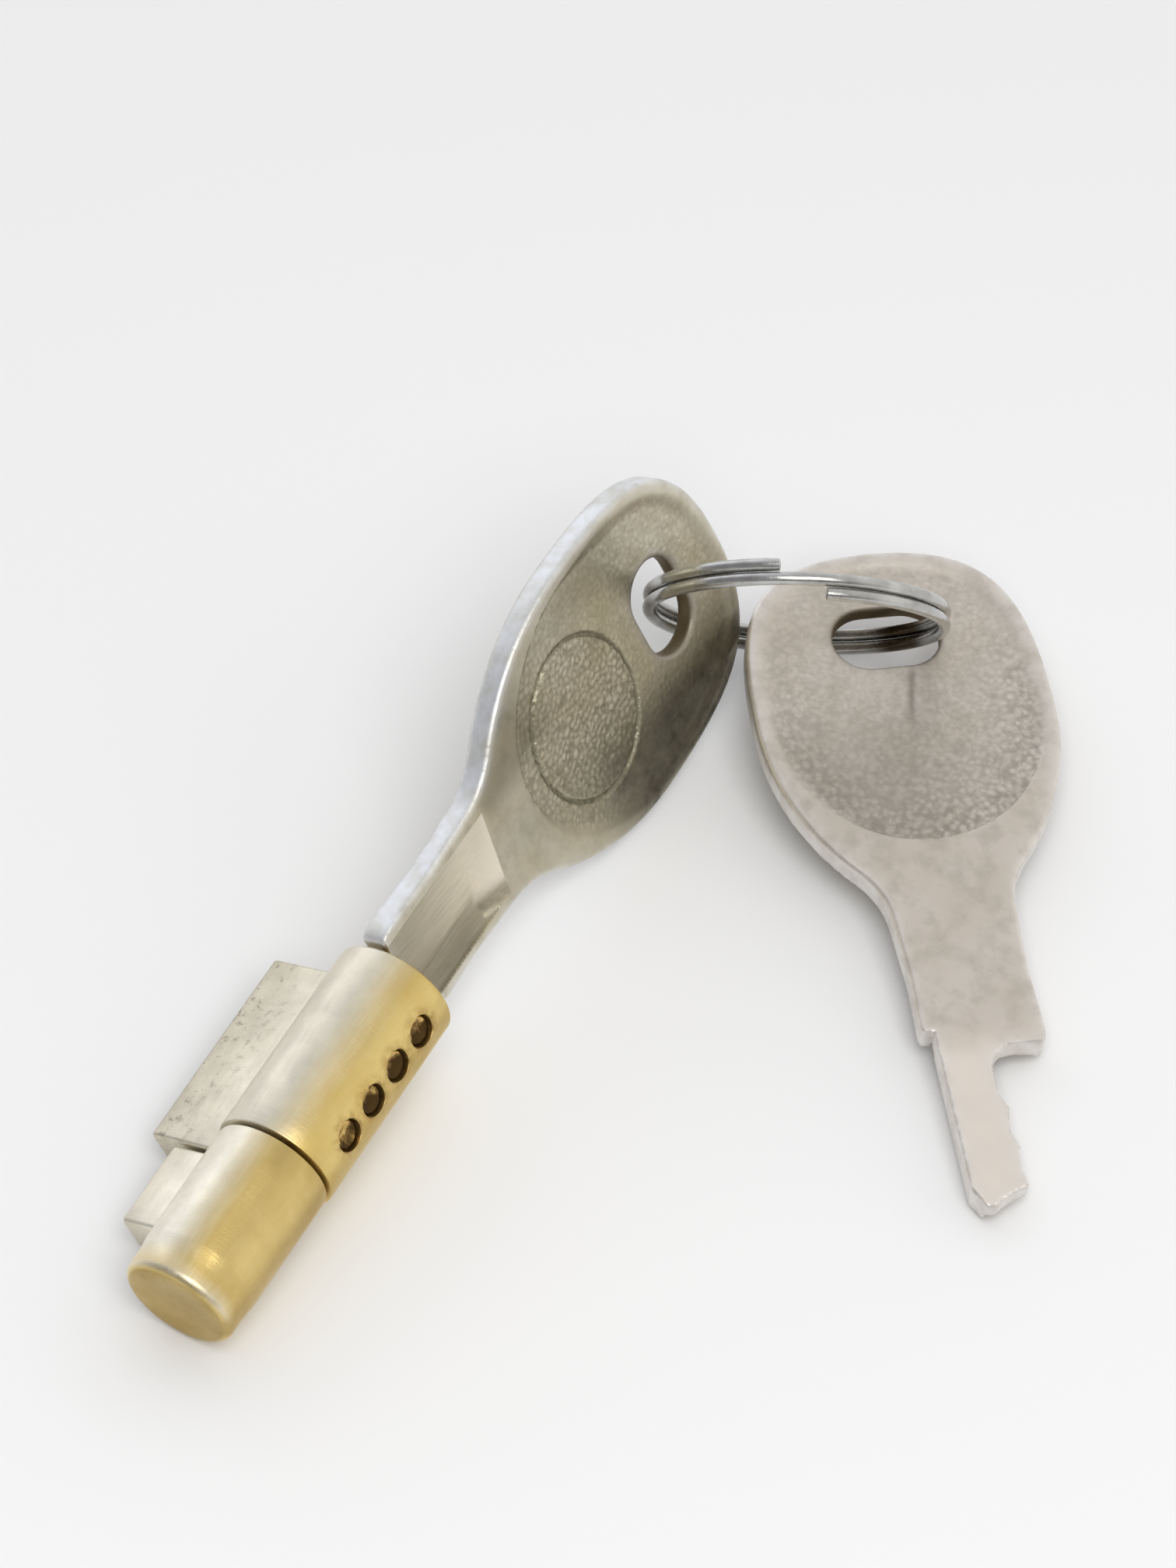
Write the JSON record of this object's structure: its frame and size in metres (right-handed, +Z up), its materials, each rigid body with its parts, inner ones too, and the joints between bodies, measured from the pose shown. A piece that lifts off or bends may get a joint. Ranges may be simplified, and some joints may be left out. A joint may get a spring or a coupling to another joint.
{
  "type": "hitch pin lock",
  "caption": "Push-in pin tumbler lock barrel with a turning lugged locking head, one key in the plug and a spare key, joined by a split ring.",
  "frame": {"origin": "bottom centre of the set's box, on the plane the set lies on", "axes": "+Y along the plan direction of the barrel, from the nose of the locking head to the key; +Z up; +X to the right"},
  "size_m": [0.06, 0.094, 0.0239],
  "materials": {
    "body_brass": "satin machined brass, worn on the lug",
    "head_brass": "satin turned brass with a polished rim",
    "plain_brass": "plain machined brass",
    "steel": "plain steel",
    "spring_steel": "bright drawn wire",
    "key_nickel": "satin nickel plate over brass, pebbled bow recess",
    "ring_nickel": "bright nickel plated spring wire"
  },
  "bodies": {
    "lock": {"lock_body": "body_brass", "chamber_plug_1": "plain_brass", "chamber_plug_2": "plain_brass", "chamber_plug_3": "plain_brass", "chamber_plug_4": "plain_brass", "chamber_spring_1": "spring_steel", "chamber_spring_2": "spring_steel", "chamber_spring_3": "spring_steel", "chamber_spring_4": "spring_steel"},
    "driver_1": {"driver_pin_1": "plain_brass"},
    "driver_2": {"driver_pin_2": "plain_brass"},
    "driver_3": {"driver_pin_3": "plain_brass"},
    "driver_4": {"driver_pin_4": "plain_brass"},
    "plug": {"plug_core": "plain_brass", "locking_head": "head_brass", "head_cross_pin": "steel"},
    "tumbler_1": {"key_pin_1": "plain_brass"},
    "tumbler_2": {"key_pin_2": "plain_brass"},
    "tumbler_3": {"key_pin_3": "plain_brass"},
    "tumbler_4": {"key_pin_4": "plain_brass"},
    "key": {"inserted_key": "key_nickel"},
    "ring": {"split_ring": "ring_nickel"},
    "spare": {"spare_key": "key_nickel"}
  },
  "joints": [
    {"name": "plug_turn", "type": "hinge", "parent": "lock", "child": "plug", "pos_m": [-0.01926, -0.02669, 0.00673], "axis": [0, -0.9947, -0.1028], "range_deg": [0, 90]},
    {"name": "key_slide", "type": "slide", "parent": "plug", "child": "key", "axis": [0, 0.9947, 0.1028], "range_m": [0, 0.0165]},
    {"name": "ring_swing", "type": "hinge", "parent": "key", "child": "ring", "pos_m": [-0.0199, 0.02534, 0.01351], "axis": [0.8872, 0.4614, 0], "range_deg": [-5, 30]},
    {"name": "spare_swing", "type": "hinge", "parent": "ring", "child": "spare", "pos_m": [-0.00328, 0.03835, 0.00524], "axis": [-0.7535, 0.031, -0.6568], "range_deg": [-40, 40]},
    {"name": "driver_slide_1", "type": "slide", "parent": "lock", "child": "driver_1", "axis": [-0.9205, 0.0402, -0.3887], "range_m": [0, 0.0004], "stiffness_N_per_m": 30, "springref_m": -0.002, "deforming": ["chamber_spring_1"]},
    {"name": "driver_slide_2", "type": "slide", "parent": "lock", "child": "driver_2", "axis": [-0.9205, 0.0402, -0.3887], "range_m": [0, 0.0004], "stiffness_N_per_m": 30, "springref_m": -0.002, "deforming": ["chamber_spring_2"]},
    {"name": "driver_slide_3", "type": "slide", "parent": "lock", "child": "driver_3", "axis": [-0.9205, 0.0402, -0.3887], "range_m": [0, 0.0004], "stiffness_N_per_m": 30, "springref_m": -0.002, "deforming": ["chamber_spring_3"]},
    {"name": "driver_slide_4", "type": "slide", "parent": "lock", "child": "driver_4", "axis": [-0.9205, 0.0402, -0.3887], "range_m": [0, 0.0004], "stiffness_N_per_m": 30, "springref_m": -0.002, "deforming": ["chamber_spring_4"]},
    {"name": "tumbler_slide_1", "type": "slide", "parent": "plug", "child": "tumbler_1", "axis": [0.3907, 0.0946, -0.9156], "range_m": [0, 0.0005]},
    {"name": "tumbler_slide_2", "type": "slide", "parent": "plug", "child": "tumbler_2", "axis": [0.3907, 0.0946, -0.9156], "range_m": [0, 0.0005]},
    {"name": "tumbler_slide_3", "type": "slide", "parent": "plug", "child": "tumbler_3", "axis": [0.3907, 0.0946, -0.9156], "range_m": [0, 0.0005]},
    {"name": "tumbler_slide_4", "type": "slide", "parent": "plug", "child": "tumbler_4", "axis": [0.3907, 0.0946, -0.9156], "range_m": [0, 0.0005]}
  ],
  "couplings": [
    {"joint": "tumbler_slide_1", "follows": "key_slide", "ratio": 0.025},
    {"joint": "tumbler_slide_2", "follows": "key_slide", "ratio": 0.025},
    {"joint": "tumbler_slide_3", "follows": "key_slide", "ratio": 0.025},
    {"joint": "tumbler_slide_4", "follows": "key_slide", "ratio": 0.025}
  ]
}
